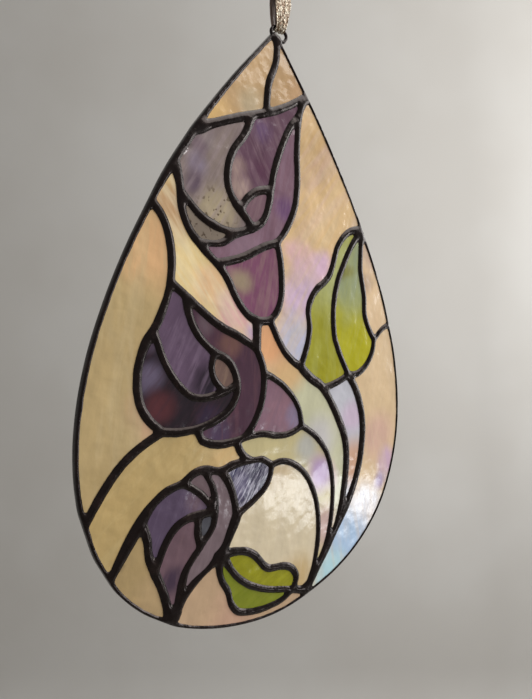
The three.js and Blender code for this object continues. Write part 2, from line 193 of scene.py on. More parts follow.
def add_mesh(name, vertices, faces, finish, sharp=()):
    """A smooth-shaded mesh object with some sharp edges."""
    mesh = bpy.data.meshes.new(name)
    mesh.from_pydata([tuple(v) for v in vertices], [], [tuple(int(i) for i in f) for f in faces])
    mesh.update()
    mesh.shade_smooth()
    if len(sharp):
        wanted = {tuple(sorted((int(a), int(b)))) for a, b in sharp}
        flags = [tuple(sorted(e.vertices)) in wanted for e in mesh.edges]
        mesh.attributes.new("sharp_edge", "BOOLEAN", "EDGE").data.foreach_set("value", flags)
    mesh.materials.append(finish)
    return link(name, mesh)


def triangulated(points, loops):
    """Triangles over the whole hull of points [x, z], with the loops (lists of point numbers) kept
    as edges: the points and the triangles."""
    edges = [(a, b) for loop in loops for a, b in zip(loop, loop[1:] + loop[:1])]
    flat = [Vector((p[0] / MM, p[1] / MM)) for p in points]
    whole_hull, tolerance = 0, 1e-5
    found = geometry.delaunay_2d_cdt(flat, edges, [], whole_hull, tolerance)
    return np.array([tuple(v) for v in found[0]]) * MM, np.array(found[2], int)


def boundary_edges(triangles):
    """The directed edges that only one triangle has."""
    directed = np.vstack([triangles[:, [0, 1]], triangles[:, [1, 2]], triangles[:, [2, 0]]])
    known = set(map(tuple, directed))
    return [(a, b) for a, b in map(tuple, directed) if (b, a) not in known]


def facing_front(points, triangles):
    """The triangles over points [x, z], each turned to run counter-clockwise from the front."""
    a, b, c = (points[triangles[:, k]] for k in range(3))
    turn = (b[:, 0] - a[:, 0]) * (c[:, 1] - a[:, 1]) - (b[:, 1] - a[:, 1]) * (c[:, 0] - a[:, 0])
    return np.where((turn > 0)[:, None], triangles, triangles[:, ::-1])


def ring_faces(count, sides):
    """The faces of a closed ring of count sections with so many sides."""
    return [
        (i * sides + j, i * sides + (j + 1) % sides,
         (i + 1) % count * sides + (j + 1) % sides, (i + 1) % count * sides + j)
        for i in range(count) for j in range(sides)
    ]


def directions(centres):
    """Unit vectors along a closed run of points in space."""
    along = np.roll(centres, -1, axis=0) - np.roll(centres, 1, axis=0)
    return along / np.linalg.norm(along, axis=1)[:, None]


def tube(centres, radius, sides):
    """A closed ring of wire along points in a plane across Y: its vertices and faces."""
    across = np.cross(directions(centres), [0, 1, 0])
    turns = np.linspace(0, 2 * math.pi, sides, endpoint=False)
    rings = (
        centres[:, None] + radius[:, None, None] * (
            across[:, None] * np.cos(turns)[None, :, None]
            + np.array([0, 1, 0]) * np.sin(turns)[None, :, None]
        )
    )
    return rings.reshape(-1, 3), ring_faces(len(centres), sides)


# ---- finishes ---------------------------------------------------------------------------------
def colour(red, green, blue):
    """A shader colour from ordinary 0 to 255 screen values."""
    def linear(v):
        v /= 255
        return v / 12.92 if v <= 0.04045 else ((v + 0.055) / 1.055) ** 2.4
    return (linear(red), linear(green), linear(blue), 1)


class Finish:
    """A node material around one Principled shader. Values that never vary sit on its sockets."""

    def __init__(self, name, **values):
        self.material = bpy.data.materials.new(name)
        self.material.use_nodes = True
        self.tree = self.material.node_tree
        self.shader = self.tree.nodes["Principled BSDF"]
        for socket, value in values.items():
            self.shader.inputs[socket.replace("_", " ")].default_value = value
        self.where = self.add("TexCoord").outputs["Object"]

    def put(self, node, socket, value):
        if isinstance(value, bpy.types.NodeSocket):
            self.tree.links.new(value, node.inputs[socket])
        else:
            node.inputs[socket].default_value = value

    def add(self, kind, inputs=None, **settings):
        node = self.tree.nodes.new("ShaderNode" + kind)
        for key, value in settings.items():
            setattr(node, key, value)
        for socket, value in (inputs or {}).items():
            self.put(node, socket, value)
        return node

    def feed(self, socket, value):
        self.put(self.shader, socket, value)

    def noise(self, size, detail=2.0, vector=None, roughness=0.5, distortion=0.0):
        """Noise from 0 to 1 with features about size metres across."""
        node = self.add("TexNoise", {
            "Vector": vector or self.where, "Scale": 1 / size, "Detail": detail,
            "Roughness": roughness, "Distortion": distortion,
        })
        return node.outputs["Fac"]

    def stretched(self, turn, scale):
        """Object coordinates for a texture whose features come out scaled along X, Y and Z, then
        leaning to the right by an angle."""
        node = self.add("Mapping", {
            "Vector": self.where, "Rotation": (0, turn, 0), "Scale": scale,
        }, vector_type="TEXTURE")
        return node.outputs["Vector"]

    def ranged(self, value, low, high, to_low=0.0, to_high=1.0):
        """Smoothly maps low..high to to_low..to_high."""
        node = self.add("MapRange", {
            "Value": value, "From Min": low, "From Max": high, "To Min": to_low, "To Max": to_high,
        }, interpolation_type="SMOOTHSTEP")
        return node.outputs["Result"]

    def mixed(self, share, first, second):
        """A colour between two, by share."""
        node = self.add("Mix", data_type="RGBA")
        for index, value in ((0, share), (6, first), (7, second)):
            self.put(node, index, value)
        return node.outputs[2]

    def maths(self, operation, first, second):
        node = self.add("Math", {0: first, 1: second}, operation=operation)
        return node.outputs[0]

    def bumped(self, height, distance):
        node = self.add("Bump", {"Height": height, "Distance": distance, "Strength": 1.0})
        self.feed("Normal", node.outputs["Normal"])


SKY_DRIFT = 0.022  # how far a wash of colour wanders from a round shape, in metres
BUD_DRIFT = 0.009
VEIN_LENGTH = 7  # how much longer than wide the veins are
STREAKS = 0.07  # how much the long streaks lighten and darken the glass


def glass(name, base, washes=(), veins=(), specks=None, lean=0.25, drift=SKY_DRIFT, relief=1.2):
    """Streaky opal glass: a base colour, soft washes (colour, [across, down], radius in mm) over
    it, veins (colour, lean, width in mm, amount), dark specks (colour, [across, down], radius in
    mm), long faint streaks that lean, and waves in the surface as deep as the relief in mm. No
    light passes through, so the colours are partly painted glow of light shining through the
    glass; some washes and veins are painted iridescent sheen and painted reflections of the
    window."""
    finish = Finish(name, Roughness=0.16, IOR=1.45, Coat_Weight=0.2, Coat_Roughness=0.05)
    wander = finish.add("TexNoise", {"Vector": finish.where, "Scale": 38, "Detail": 3})
    drifting = finish.add("VectorMath", {
        0: wander.outputs["Color"], 1: (drift, 0, drift), 2: finish.where,
    }, operation="MULTIPLY_ADD").outputs["Vector"]
    bias = Vector((drift / 2, 0, drift / 2))

    def share_of(centre, radius):
        middle = place(*centre) + bias
        away = finish.add("VectorMath", {0: drifting, 1: middle}, operation="DISTANCE")
        return finish.ranged(away.outputs["Value"], radius * MM, 0.25 * radius * MM)

    paint = colour(*base)
    # Washes: the glass's own tints, and on some panes painted iridescent sheen and painted
    # reflections of the window light.
    for wash, centre, radius in washes:
        paint = finish.mixed(share_of(centre, radius), paint, colour(*wash))
    # Veins: streaks in the glass, and on lower_bud_sepal painted glints of the window light.
    for vein, turn, width, amount in veins:
        wisps = finish.noise(width * MM, 3, finish.stretched(turn, (1, 1, VEIN_LENGTH)), 0.6, 0.5)
        paint = finish.mixed(finish.ranged(wisps, 0.42, 0.68, 0, amount), paint, colour(*vein))
    fine = finish.noise(0.0022, 4, finish.stretched(lean, (1, 1, 7)), 0.65, 0.4)
    broad = finish.noise(0.012, 2, finish.stretched(lean, (1, 1, 3)))
    both = finish.maths("ADD", finish.maths("MULTIPLY", fine, 0.6), broad)
    value = finish.ranged(both, 0.45, 1.15, 1 - STREAKS, 1 + STREAKS)
    paint = finish.add("HueSaturation", {"Value": value, "Color": paint}).outputs["Color"]
    if specks:
        speck, centre, radius = specks
        dots = finish.ranged(finish.noise(0.0022, 1, roughness=0.3), 0.63, 0.7, 0, 0.85)
        share = finish.maths("MULTIPLY", dots, share_of(centre, radius))
        paint = finish.mixed(share, paint, colour(*speck))
    finish.feed("Base Color", paint)
    hammered = finish.maths("MULTIPLY", finish.noise(0.004, 2), 0.12)
    rolled = finish.maths("ADD", finish.noise(0.014, 2), finish.maths("MULTIPLY", fine, 0.03))
    finish.bumped(finish.maths("ADD", rolled, hammered), relief * MM)
    return finish.material


def patina_finish():
    """Black-patinated solder: nearly black, glossy, with brown and grey breaking through."""
    finish = Finish("patina_solder", IOR=1.38, Specular_Tint=(0.85, 0.68, 0.64, 1))
    worn = finish.ranged(finish.noise(0.006, 3, roughness=0.6), 0.5, 0.8)
    finish.feed("Base Color", finish.mixed(worn, colour(12, 7, 7), colour(34, 24, 22)))
    finish.feed("Roughness", finish.ranged(finish.noise(0.005, 3), 0.3, 0.75, 0.14, 0.32))
    dimples = finish.maths("MULTIPLY", finish.noise(0.0018, 1), 0.08)
    finish.bumped(finish.maths("ADD", finish.noise(0.006, 2), dimples), 0.0004)
    return finish.material


def reverse_finish():
    """The plain brown back of the ribbon, its darkness partly the thread's colour and partly
    painted shade of the back strand.
    """
    finish = Finish("ribbon_reverse", Sheen_Weight=0.3)
    threads = finish.noise(0.0005, 2, finish.stretched(0, (1, 1, 6)))
    finish.feed("Base Color", finish.mixed(
        finish.ranged(threads, 0.35, 0.65), colour(88, 68, 60), colour(136, 112, 98)))
    finish.feed("Roughness", finish.ranged(threads, 0.3, 0.7, 0.35, 0.6))
    finish.bumped(threads, 0.0002)
    return finish.material


def ribbon_finish():
    """Woven ribbon of champagne-gold metallic thread, full of sparkling flakes, whose near-white
    colour is partly pale thread and partly painted glint.
    """
    finish = Finish("glitter_ribbon", Metallic=0.4, Sheen_Weight=0.2)
    flakes = finish.add("TexVoronoi", {
        "Vector": finish.stretched(0.3, (1, 1, 1.5)), "Scale": 1150,
    })
    # Painted glints: some flakes are coloured near-white to stand in for sparkle on the glitter.
    flake_tone_and_glint = finish.ranged(flakes.outputs["Color"], 0.35, 0.68)
    tone = finish.mixed(flake_tone_and_glint, colour(146, 118, 88), colour(255, 246, 222))
    gaps = finish.ranged(flakes.outputs["Distance"], 0.25, 0.75)
    finish.feed("Base Color", finish.mixed(gaps, tone, colour(112, 88, 64)))
    finish.feed("Roughness", finish.ranged(finish.noise(0.0006, 1), 0.3, 0.7, 0.2, 0.45))
    finish.bumped(flakes.outputs["Distance"], 0.0004)
    return finish.material


# ---- ribbon -----------------------------------------------------------------------------------
# The ribbon's routes, [depth, down], as in the part's source: up behind the loop's bar from the
# knot, under the bar, up in front to the knot, and on round the hook.
BACK_STRAND = [
    [1.75, -9.5], [2.1, -12], [2.2, -16], [2.1, -20], [1.7, -24], [1.3, -27.3],
]
FRONT_STRAND = [
    [1.7, -9.2], [1.7, -8.1], [1.2, -6.9], [0, -6.4], [-1.2, -6.9], [-1.7, -8.1], [-2, -10],
    [-2.1, -12], [-2.1, -16], [-2, -20], [-1.7, -24], [-1.3, -27.3],
]
HOOK_LOOP = [
    [-1.2, -34.9], [-3.2, -38.5], [-4.1, -42.5], [-3, -46.6], [0, -48.35],
    [3, -46.6], [4.1, -42.5], [3.2, -38.5], [1.2, -34.9],
]
FOLD_DOWN = -6.4
FULL_WIDTH_DOWN = -20
RIBBON = 11
RIBBON_AT_FOLD = 6
RIBBON_THICK = 0.7
RIBBON_SEAM = 0.35  # the edges' share of the full thickness
LOOP_ACROSS = 3.3  # the middle of the wire loop
THREAD = 0.45  # spacing of the ribbon's threads
THREAD_RISE = 0.05
PLEAT_RISE = 0.28  # small pleats where the ribbon is gathered at the fold
PLEAT_TURNS = 9  # radians of pleating from the middle to an edge
patina = patina_finish()
glitter = ribbon_finish()
reverse = reverse_finish()


def ribbon_mesh():
    """A woven strip along the whole route, gathered where it passes under the loop's bar."""
    route = smooth_curve(BACK_STRAND[::-1] + FRONT_STRAND + HOOK_LOOP, 0.4, closed=False)
    along = np.gradient(route, axis=0)
    along /= np.linalg.norm(along, axis=1)[:, None]
    facing = np.stack([-along[:, 1], along[:, 0]], axis=1)
    share = np.clip((route[:, 1] - FOLD_DOWN) / (FULL_WIDTH_DOWN - FOLD_DOWN), 0, 1)
    width = RIBBON_AT_FOLD + (RIBBON - RIBBON_AT_FOLD) * share
    middle = (LOOP_ACROSS - HOOK_ACROSS) * (1 - share)
    half = 20  # columns on each side of the middle
    across = np.linspace(-1, 1, 2 * half + 1)
    vertices = []
    for i, (depth, down) in enumerate(route):
        for side in (-1, 1):
            for u in across[::side][:-1]:
                from_edge = max(0.0, 1 - abs(u)) * RIBBON / 2
                thick = RIBBON_THICK / 2 * min(1, RIBBON_SEAM + from_edge)
                threads = math.cos(i * math.pi) * math.cos(u * width[i] * math.pi / THREAD)
                pleat = PLEAT_RISE * (1 - share[i]) * math.cos(u * PLEAT_TURNS)
                offset = -side * thick + pleat + THREAD_RISE * threads
                spot = np.array([depth, down]) + facing[i] * offset
                sideways = HOOK_ACROSS + middle[i] + u * width[i] / 2
                vertices.append(place(sideways, spot[1], spot[0]))
    ring = 4 * half
    count = len(route)
    faces = [
        (i * ring + j, (i + 1) * ring + j,
         (i + 1) * ring + (j + 1) % ring, i * ring + (j + 1) % ring)
        for i in range(count - 1) for j in range(ring)
    ]
    faces += [tuple(range(ring)), tuple((count - 1) * ring + j for j in reversed(range(ring)))]
    path = [place(HOOK_ACROSS + middle[i], down, depth) for i, (depth, down) in enumerate(route)]
    strip = add_mesh("ribbon", vertices, faces, glitter)
    strip.data.materials.append(reverse)
    under = [len(f) == 4 and k % ring < 2 * half for k, f in enumerate(faces)]
    strip.data.polygons.foreach_set("material_index", under)
    return strip, path


KNOT_DOWN = -31
KNOT_RADIUS = 1.5
KNOT_SCALE = (1.22, 1.3, 0.78)  # of the trefoil's curve: across, in depth and down
KNOT_FOLDS = 5  # round the gathered ribbon
KNOT_TWIST = 4  # how often the folds turn along the knot


def knot_mesh():
    """An overhand knot, pulled tight: a trefoil of gathered ribbon."""
    sections, sides = 160, 20
    turns = np.linspace(0, 2 * math.pi, sections, endpoint=False)
    centres = np.stack([
        (np.sin(turns) + 2 * np.sin(2 * turns)) * KNOT_SCALE[0],
        np.sin(3 * turns) * KNOT_SCALE[1],
        (np.cos(turns) - 2 * np.cos(2 * turns)) * KNOT_SCALE[2],
    ], axis=1)
    along = directions(centres)
    out = np.cross(along, [0, 1, 0])
    out /= np.linalg.norm(out, axis=1)[:, None]
    over = np.cross(out, along)
    angles = np.linspace(0, 2 * math.pi, sides, endpoint=False)
    vertices = []
    for i, centre in enumerate(centres):
        for angle in angles:
            reach = KNOT_RADIUS * (1 + 0.1 * math.cos(KNOT_FOLDS * angle + KNOT_TWIST * turns[i]))
            wide, deep = 1.1 * math.cos(angle), 0.85 * math.sin(angle)
            spot = centre + out[i] * reach * wide + over[i] * reach * deep
            vertices.append(place(HOOK_ACROSS + spot[0], KNOT_DOWN - spot[2], spot[1]))
    return add_mesh("knot", vertices, ring_faces(sections, sides), glitter)


ribbon, ribbon_path = ribbon_mesh()
knot = knot_mesh()
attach(ribbon, "root")
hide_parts("ribbon_front", "ribbon_back", "ribbon_hook_loop")
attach(knot, "root")
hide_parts("ribbon_knot")

# ---- panes and solder -------------------------------------------------------------------------
STEP = 0.25 * MM  # spacing of the dense points along an outline
LIP = 0.3 * MM  # the solder's edge, outside the outline of a CAD pane
TUCK = 0.75 * MM  # a pane's edge, under the solder
WEB = 0.85 * MM  # the solder's upright body, outside the outline of a CAD pane
CORNER_SOFTNESS = 0.6 * MM
HALF_GLASS = 1.5 * MM
UNDER_LIP = 1.56 * MM  # half thickness to the underside of the solder's lips
LIP_FACE = 1.6 * MM  # half thickness to the edge of the solder's face
BEAD_RISE = 1.0 * MM
BEAD_REACH = 2.1 * MM  # how far a bead keeps rising from its edge
RIM_ROUND = 1.6 * MM  # width of the rounding towards the outline
RIM_INSET = 0.2 * MM
RIM_WALL = 1.25 * MM  # half height of the rim's upright wall
CAD_RIM_WALL = 1.6 * MM  # the same in the CAD, where the wall meets the chamfers
SNAP = 0.02 * MM  # CAD points closer than this are taken as one
EDGE_SPACING = 1.1 * MM
RING = 0.5 * MM  # from an edge to the first ring of points beside it
FILL_SPACING = 0.9 * MM
APART = 0.42 * MM  # the least space left between rings and fill
SHORTEST_STEP = 0.3 * MM  # shorter steps of a CAD outline are dropped
WAVER = ((0.16 * MM, 5 * MM, 3.0), (0.07 * MM, 1.7 * MM, 9.0))  # a lip's: height, length, seed
POOLING = 0.16  # how steeply wide solder keeps rising past a bead's reach
FOLDED = 0.12 * MM  # how much nearer to its outline a lip may run than it was set
PANE_EDGE_SPACING = 1.4 * MM
PANE_SPACING = 3.2 * MM
PANE_JITTER = 0.8 * MM
PANE_MARGIN = 1.5 * MM
PANE_WAVES = 0.05 * MM
SLIVER_TURN = math.radians(155)  # how sharply an outline turns at the tip of a sliver of pane
SLIVER_SIDES = (2 * MM, 3 * MM)  # how long a sliver's sides are; solder fills it here
APEX_POOL = ((1.6, -0.8), 2.7)  # place and radius of the pool of solder round the loop's feet

# The upper left edge stands out further than the other: where, over what reach, which way, and by
# how much for the panes and for the outline, in millimetres.
SHOULDER = (-50, 58)
SHOULDER_REACH = 50
SHOULDER_WAY = np.array([-0.82, 0.57])
SHOULDER_PANES = 1.0
SHOULDER_OUTLINE = 1.95

# Where the solder is laid on thicker: a place, the reach and the extra width, in millimetres.
THICKENED = [
    ((-46, 52), 6, 1.2), ((-52, 60), 6, 0.6), ((-59, 70), 6, 0.8), ((-64, 78), 5, 0.5),
    ((-76, 146), 5, 0.6), ((-36, 255), 6, 0.9), ((-62, 273), 5, 0.8), ((38, 270), 6, 0.7),
    ((-30, 213), 5, 0.5), ((-27, 239), 5, 0.6), ((67, 89), 5, 0.5), ((-14, 140), 5, 0.4),
    ((-26, 99), 5, 0.6),
]


def without_slivers(loop):
    """An outline without the tips of thin slivers."""
    steps, after = chords(loop, True)
    before = np.roll(after, 1)
    cosine = (np.roll(steps, 1, axis=0) * steps).sum(1) / (before * after)
    shortest, longest = SLIVER_SIDES
    short = (np.minimum(before, after) > shortest) & (np.maximum(before, after) < longest)
    return loop[~(short & (cosine < math.cos(SLIVER_TURN)))]


def front_loop(node):
    """The outline of a CAD pane's front face: [x, z] points, counter-clockwise from the front."""
    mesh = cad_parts[node].data
    points = np.array([v.co for v in mesh.vertices])
    front = points[:, 1] < points[:, 1].min() + SNAP / 2
    keys = [tuple(k) for k in np.round(points[:, [0, 2]] / SNAP).astype(int)]
    where = {k: p[[0, 2]] for k, p in zip(keys, points)}
    edges = set()
    for face in mesh.polygons:
        corners = list(face.vertices)
        if all(front[i] for i in corners):
            ring = [keys[i] for i in corners]
            edges |= {(a, b) for a, b in zip(ring, ring[1:] + ring[:1]) if a != b}
    following = {a: b for a, b in edges if (b, a) not in edges}
    start = min(following)
    loop, here = [where[start]], following[start]
    while here != start:
        loop.append(where[here])
        here = following[here]
    loop = np.array(loop)
    _, lengths = chords(loop, True)
    return without_slivers(loop[lengths > SHORTEST_STEP])


def outline_loop():
    """The panel's outline from the CAD rim: [x, z] points, counter-clockwise from the front."""
    points = np.array([v.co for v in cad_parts["solder"].data.vertices])
    rim = points[np.abs(np.abs(points[:, 1]) - CAD_RIM_WALL) < SNAP][:, [0, 2]]
    rim = np.unique(np.round(rim, 6), axis=0)
    loop = rim[geometry.convex_hull_2d([tuple(p) for p in rim])]
    area = (loop[:, 0] * np.roll(loop[:, 1], -1) - np.roll(loop[:, 0], -1) * loop[:, 1]).sum()
    return loop if area > 0 else loop[::-1]


def nearness(points, centre, reach):
    """1 at a layout place, falling smoothly to 0 beyond the reach, which is in millimetres."""
    middle = place(*centre)
    away = np.linalg.norm(points - np.array([middle.x, middle.z]), axis=1) / (reach * MM)
    return np.exp(-away ** 2)


def shouldered(points, amount):
    """Points near the shoulder, moved out by an amount in millimetres."""
    share = nearness(points, SHOULDER, SHOULDER_REACH)
    return points + share[:, None] * SHOULDER_WAY * amount * MM


def loop_of(node):
    dense = smooth_curve(shouldered(front_loop(node), SHOULDER_PANES), STEP)
    return evenly(softened(dense, CORNER_SOFTNESS, STEP), STEP)


def lip_reach(points):
    """How far outside a pane's outline the solder's edge runs: it wavers, and runs further in
    where the solder is thickened."""
    reach = LIP + sum(height * waves(points, length, seed) for height, length, seed in WAVER)
    for centre, radius, extra in THICKENED:
        reach = reach - extra * MM * nearness(points, centre, radius)
    return reach


pane_names = sorted(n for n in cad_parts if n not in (
    "solder", "wire_loop", "ribbon_front", "ribbon_back", "ribbon_knot", "ribbon_hook_loop"))
pane_loops = {name: loop_of(name) for name in pane_names}


def pool_outline(loop):
    """The outline, swollen round the pool of solder at the tip."""
    (across, down), radius = APEX_POOL
    middle = place(across, down)
    centre = np.array([middle.x, middle.z])
    away = loop - centre
    far = np.linalg.norm(away, axis=1)[:, None]
    swollen = np.where(far < radius * MM, centre + away / far * radius * MM, loop)
    return evenly(softened(swollen, CORNER_SOFTNESS, STEP), STEP)


def lip_of(loop):
    """The solder's lip round a pane, and how far the solder's upright body stands back from it."""
    normals = outward(loop)
    tree = tree_of(loop)
    reach = lip_reach(loop)
    lip = loop + normals * reach[:, None]
    inside, _ = signed_distance(lip, loop, -normals, tree)
    lip = evenly(lip[inside > -reach - FOLDED], STEP)  # without folds in narrow tips
    inside, _ = signed_distance(lip, loop, -normals, tree)
    return lip, WEB + inside


def staggered(low, high, spacing):
    """Points [x, z] that fill a box in rows of equal triangles."""
    rows = []
    for row, z in enumerate(np.arange(low[1], high[1], spacing * math.sqrt(3) / 2)):
        xs = np.arange(low[0] + (row % 2) * spacing / 2, high[0], spacing)
        rows.append(np.stack([xs, np.full(len(xs), z)], axis=1))
    return np.vstack(rows)


def face_height(points, from_lip, from_rim, seed):
    """Half the solder's thickness: lumpy beads that rise from the lips, rounded to the outline."""
    rise = 1 - (1 - np.minimum(from_lip, BEAD_REACH) / BEAD_REACH) ** 2
    pooled = POOLING * np.maximum(from_lip - BEAD_REACH, 0)
    lumps = 1 + 0.13 * waves(points, 6 * MM, seed) + 0.05 * waves(points, 2.2 * MM, seed + 5)
    bead = (BEAD_RISE * rise + pooled) * lumps
    near_edge = np.minimum(from_rim, RIM_ROUND) / RIM_ROUND
    rim = BEAD_RISE * (1 - (1 - near_edge) ** 2) + np.maximum(from_rim - RIM_ROUND, 0)
    return LIP_FACE + np.minimum(bead, rim)


def solder_mesh(finish):
    """The whole network: domed beads between the panes and a rounded rim, with a groove round each
    pane that holds the glass's edge."""
    outline = pool_outline(smooth_curve(shouldered(outline_loop(), SHOULDER_OUTLINE), STEP))
    lips, webs = zip(*(lip_of(pane_loops[name]) for name in pane_names))
    lip_points, web_reach = np.vstack(lips), np.concatenate(webs)
    lip_out = np.vstack([outward(lip) for lip in lips])
    lip_tree = tree_of(lip_points)
    rim_in = -outward(outline)
    rim_tree = tree_of(outline)

    def depths(points):
        """How far points are inside the solder, from the nearest lip and from the outline."""
        from_lip, near_lip = signed_distance(points, lip_points, lip_out, lip_tree)
        from_rim, near_rim = signed_distance(points, outline, rim_in, rim_tree)
        return from_lip, from_rim, near_lip, near_rim

    def clear_of_edges(points, space):
        from_lip, from_rim, _, _ = depths(points)
        return points[(from_lip > space) & (from_rim > RIM_INSET + space)]

    inset = outline + rim_in * RIM_INSET
    borders = [evenly(lip, EDGE_SPACING) for lip in lips] + [evenly(inset, EDGE_SPACING)]
    rings = [b + outward(b) * RING * (1 if i < len(lips) else -1) for i, b in enumerate(borders)]
    ring_points = clear_of_edges(np.vstack(rings), APART)
    fill = staggered(outline.min(0), outline.max(0), FILL_SPACING)
    points = np.vstack(borders + [ring_points, clear_of_edges(fill, RING + APART)])
    loops, first = [], 0
    for border in borders:
        loops.append(list(range(first, first + len(border))))
        first += len(border)
    points, triangles = triangulated(points, loops)
    middles = points[triangles].mean(1)
    from_rim, _ = signed_distance(middles, outline, rim_in, rim_tree)
    in_panes = np.any([within(middles, border) for border in borders[:-1]], axis=0)
    triangles = triangles[~in_panes & (from_rim > RIM_INSET / 2)]
    used, triangles = np.unique(triangles, return_inverse=True)
    points = points[used]
    triangles = facing_front(points, triangles.reshape(-1, 3))

    from_lip, from_rim, near_lip, near_rim = depths(points)
    from_lip, from_rim = np.abs(from_lip), np.maximum(from_rim, 0)
    count = len(points)
    edges = boundary_edges(triangles)
    on_border = sorted({a for a, _ in edges} | {b for _, b in edges})
    on_rim = {i: from_rim[i] < from_lip[i] for i in on_border}
    slot = {i: k for k, i in enumerate(on_border)}
    front_depth = -face_height(points, from_lip, from_rim, seed=1.0)
    back_depth = face_height(points, from_lip, from_rim, seed=20.0)
    front = np.stack([points[:, 0], front_depth, points[:, 1]], axis=1)
    back = np.stack([points[:, 0], back_depth, points[:, 1]], axis=1)
    walls = []
    for i in on_border:
        if on_rim[i]:
            spot, depth = outline[near_rim[i]], RIM_WALL
        else:
            spot = points[i] + lip_out[near_lip[i]] * web_reach[near_lip[i]]
            depth = UNDER_LIP
        walls += [(spot[0], -depth, spot[1]), (spot[0], depth, spot[1])]
    vertices = np.vstack([front, back, walls])

    def wall(i, side):
        """The number of the wall's vertex behind a border point, towards the front or the back."""
        return 2 * count + 2 * slot[i] + side

    faces = [tuple(t) for t in triangles] + [tuple(t[::-1] + count) for t in triangles]
    sharp = []
    for a, b in edges:
        rows = [(a, b), (wall(a, 0), wall(b, 0)), (wall(a, 1), wall(b, 1)), (a + count, b + count)]
        for (a0, b0), (a1, b1) in zip(rows, rows[1:]):
            faces.append((b0, a0, a1, b1))
        if not on_rim[a]:
            sharp += rows
    return add_mesh("solder_network", vertices, faces, finish, sharp)


def pane_mesh(name, finish):
    """A pane of hand-rolled glass with faintly wavy faces, its edge tucked under the solder."""
    loop = pane_loops[name]
    tucked = softened(loop + outward(loop) * TUCK, CORNER_SOFTNESS, STEP)
    edge = evenly(tucked, PANE_EDGE_SPACING)
    columns, rows = (np.arange(a, b, PANE_SPACING) for a, b in zip(edge.min(0), edge.max(0)))
    grid = np.stack(np.meshgrid(columns, rows), axis=-1).reshape(-1, 2)
    jitter = np.stack([waves(grid, 2 * MM, seed) for seed in (31, 47)], axis=1)
    grid = grid + PANE_JITTER * jitter
    inside, _ = signed_distance(grid, edge, -outward(edge), tree_of(edge))
    grid = grid[inside > PANE_MARGIN]
    points, triangles = triangulated(np.vstack([edge, grid]), [list(range(len(edge)))])
    dense = evenly(edge, STEP)
    depth, _ = signed_distance(points[triangles].mean(1), dense, -outward(dense), tree_of(dense))
    triangles = facing_front(points, triangles[depth > 0])
    count = len(points)

    def face(side, seed):
        """The pane's points, on its front (-1) or its back (1)."""
        depth = side * HALF_GLASS + PANE_WAVES * waves(points, 11 * MM, seed)
        return np.stack([points[:, 0], depth, points[:, 1]], axis=1)

    faces = [tuple(t) for t in triangles] + [tuple(t[::-1] + count) for t in triangles]
    edges = boundary_edges(triangles)
    faces += [(b, a, a + count, b + count) for a, b in edges]
    sharp = edges + [(a + count, b + count) for a, b in edges]
    vertices = np.vstack([face(-1, 2), face(1, 8)])
    return add_mesh("glass_" + name, vertices, faces, finish, sharp)
